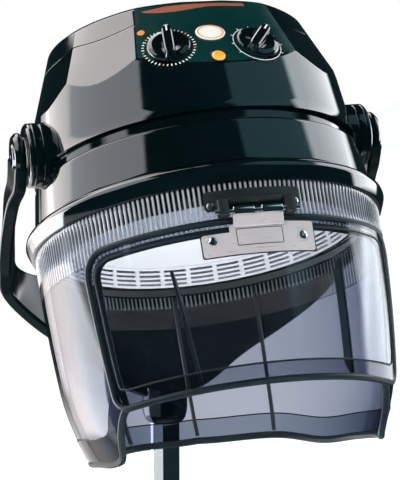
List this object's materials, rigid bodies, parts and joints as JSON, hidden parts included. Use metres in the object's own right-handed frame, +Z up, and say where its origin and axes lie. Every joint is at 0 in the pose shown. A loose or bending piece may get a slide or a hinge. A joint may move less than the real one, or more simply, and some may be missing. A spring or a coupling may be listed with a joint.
{
  "type": "standing hood dryer",
  "caption": "Salon hood dryer: faceted black hood with smoked skirt and hinged visor, held in a fork on a height-adjustable pole with a rolling star base.",
  "frame": {"origin": "on the floor, under the middle of the object's box", "axes": "+Z up, the hood's front towards -Y, +X to the right of someone who faces it from the front"},
  "size_m": [0.634, 0.7304, 1.4995],
  "materials": {
    "black_gloss": "polished moulded plastic",
    "stand_black": "glass-filled nylon, semi-gloss",
    "stand_steel": "gloss black powder coat",
    "black_satin": "satin moulded plastic",
    "smoke": "smoked clear acrylic",
    "white": "satin white heat-proof plastic",
    "panel": "printed dark panel",
    "orange": "translucent orange lens",
    "cream": "bare cream oval",
    "chrome": "bright chrome plate",
    "aluminium": "satin",
    "steel": "zinc plated",
    "mica": "mica board",
    "nylon": "natural nylon",
    "tyre": "dark grey tread"
  },
  "bodies": {
    "stand": {"base_star": "stand_black", "base_cover": "black_satin", "lower_tube": "stand_steel", "tube_bush": "nylon", "clamp_collar": "black_satin"},
    "clamp": {"clamp_knob": "black_satin"},
    "mast": {"pole": "chrome", "pole_guide": "nylon"},
    "yoke": {"fork": "black_gloss", "swivel_bush": "nylon", "pivot_bolt_left": "steel", "pivot_bolt_right": "steel", "pivot_cap_left": "black_gloss", "pivot_cap_right": "black_gloss", "friction_washer_left": "nylon", "friction_washer_right": "nylon"},
    "hood": {"upper_casing": "black_gloss", "lower_casing": "black_gloss", "cable_gland": "black_satin", "rim_ring": "black_gloss", "air_ring": "white", "inner_dome": "white", "motor_bracket": "steel", "terminal_block": "white", "fan_motor": "steel", "heater_frame": "mica", "heater_element": "steel", "thermal_cutout": "steel", "control_panel": "panel", "pilot_lamp": "orange", "badge_oval": "cream", "timer_unit": "nylon", "heat_switch": "nylon", "skirt": "smoke", "skirt_strut_1": "black_satin", "skirt_strut_2": "black_satin", "skirt_strut_3": "black_satin", "skirt_strut_4": "black_satin", "hinge_bracket": "black_satin", "hinge_pin": "chrome", "pivot_boss_left": "black_gloss", "pivot_boss_right": "black_gloss"},
    "visor": {"visor_flap": "smoke", "flap_strut_left": "black_satin", "flap_strut_right": "black_satin", "hinge_plate": "aluminium"},
    "timer": {"timer_knob": "black_gloss"},
    "heat": {"heat_knob": "black_gloss"},
    "fan": {"impeller": "nylon"},
    "castor_1": {"castor_housing_1": "black_satin"},
    "wheels_1": {"castor_wheels_1": "tyre"},
    "castor_2": {"castor_housing_2": "black_satin"},
    "wheels_2": {"castor_wheels_2": "tyre"},
    "castor_3": {"castor_housing_3": "black_satin"},
    "wheels_3": {"castor_wheels_3": "tyre"},
    "castor_4": {"castor_housing_4": "black_satin"},
    "wheels_4": {"castor_wheels_4": "tyre"},
    "castor_5": {"castor_housing_5": "black_satin"},
    "wheels_5": {"castor_wheels_5": "tyre"}
  },
  "joints": [
    {"name": "height_slide", "type": "slide", "parent": "stand", "child": "mast", "axis": [0, 0, 1], "range_m": [-0.17, 0.2]},
    {"name": "clamp_turn", "type": "hinge", "parent": "stand", "child": "clamp", "pos_m": [0, 0.11167, 0.702], "axis": [1, 0, 0], "range_deg": [0, 270]},
    {"name": "swivel", "type": "hinge", "parent": "mast", "child": "yoke", "pos_m": [0, 0.11167, 0.95], "axis": [0, 0, 1], "range_deg": [-170, 170]},
    {"name": "hood_tilt", "type": "hinge", "parent": "yoke", "child": "hood", "pos_m": [0, -0.04893, 1.33], "axis": [-1, 0, 0], "range_deg": [0, 40]},
    {"name": "visor_hinge", "type": "hinge", "parent": "hood", "child": "visor", "pos_m": [0, -0.28296, 1.31422], "axis": [-1, 0, 0], "range_deg": [0, 95]},
    {"name": "timer_turn", "type": "hinge", "parent": "hood", "child": "timer", "pos_m": [-0.05521, -0.13, 1.46174], "axis": [-0.1803, -0.4669, 0.8658], "range_deg": [-300, 0]},
    {"name": "heat_turn", "type": "hinge", "parent": "hood", "child": "heat", "pos_m": [0.04445, -0.13401, 1.4616], "axis": [0.1782, -0.467, 0.8661], "range_deg": [-95, 175]},
    {"name": "fan_spin", "type": "hinge", "parent": "hood", "child": "fan", "pos_m": [0, -0.08447, 1.2361], "axis": [0, 0.5563, 0.831], "continuous": true},
    {"name": "castor_swivel_1", "type": "hinge", "parent": "stand", "child": "castor_1", "pos_m": [0, -0.17333, 0.06], "axis": [0, 0, 1], "continuous": true},
    {"name": "wheel_spin_1", "type": "hinge", "parent": "castor_1", "child": "wheels_1", "pos_m": [0.016, -0.17333, 0.025], "axis": [0, 1, 0], "continuous": true},
    {"name": "castor_swivel_2", "type": "hinge", "parent": "stand", "child": "castor_2", "pos_m": [0.27105, 0.0236, 0.06], "axis": [0, 0, 1], "continuous": true},
    {"name": "wheel_spin_2", "type": "hinge", "parent": "castor_2", "child": "wheels_2", "pos_m": [0.28705, 0.0236, 0.025], "axis": [0, 1, 0], "continuous": true},
    {"name": "castor_swivel_3", "type": "hinge", "parent": "stand", "child": "castor_3", "pos_m": [0.16752, 0.34224, 0.06], "axis": [0, 0, 1], "continuous": true},
    {"name": "wheel_spin_3", "type": "hinge", "parent": "castor_3", "child": "wheels_3", "pos_m": [0.18352, 0.34224, 0.025], "axis": [0, 1, 0], "continuous": true},
    {"name": "castor_swivel_4", "type": "hinge", "parent": "stand", "child": "castor_4", "pos_m": [-0.16752, 0.34224, 0.06], "axis": [0, 0, 1], "continuous": true},
    {"name": "wheel_spin_4", "type": "hinge", "parent": "castor_4", "child": "wheels_4", "pos_m": [-0.18352, 0.34224, 0.025], "axis": [0, 1, 0], "continuous": true},
    {"name": "castor_swivel_5", "type": "hinge", "parent": "stand", "child": "castor_5", "pos_m": [-0.27105, 0.0236, 0.06], "axis": [0, 0, 1], "continuous": true},
    {"name": "wheel_spin_5", "type": "hinge", "parent": "castor_5", "child": "wheels_5", "pos_m": [-0.28705, 0.0236, 0.025], "axis": [0, 1, 0], "continuous": true}
  ]
}
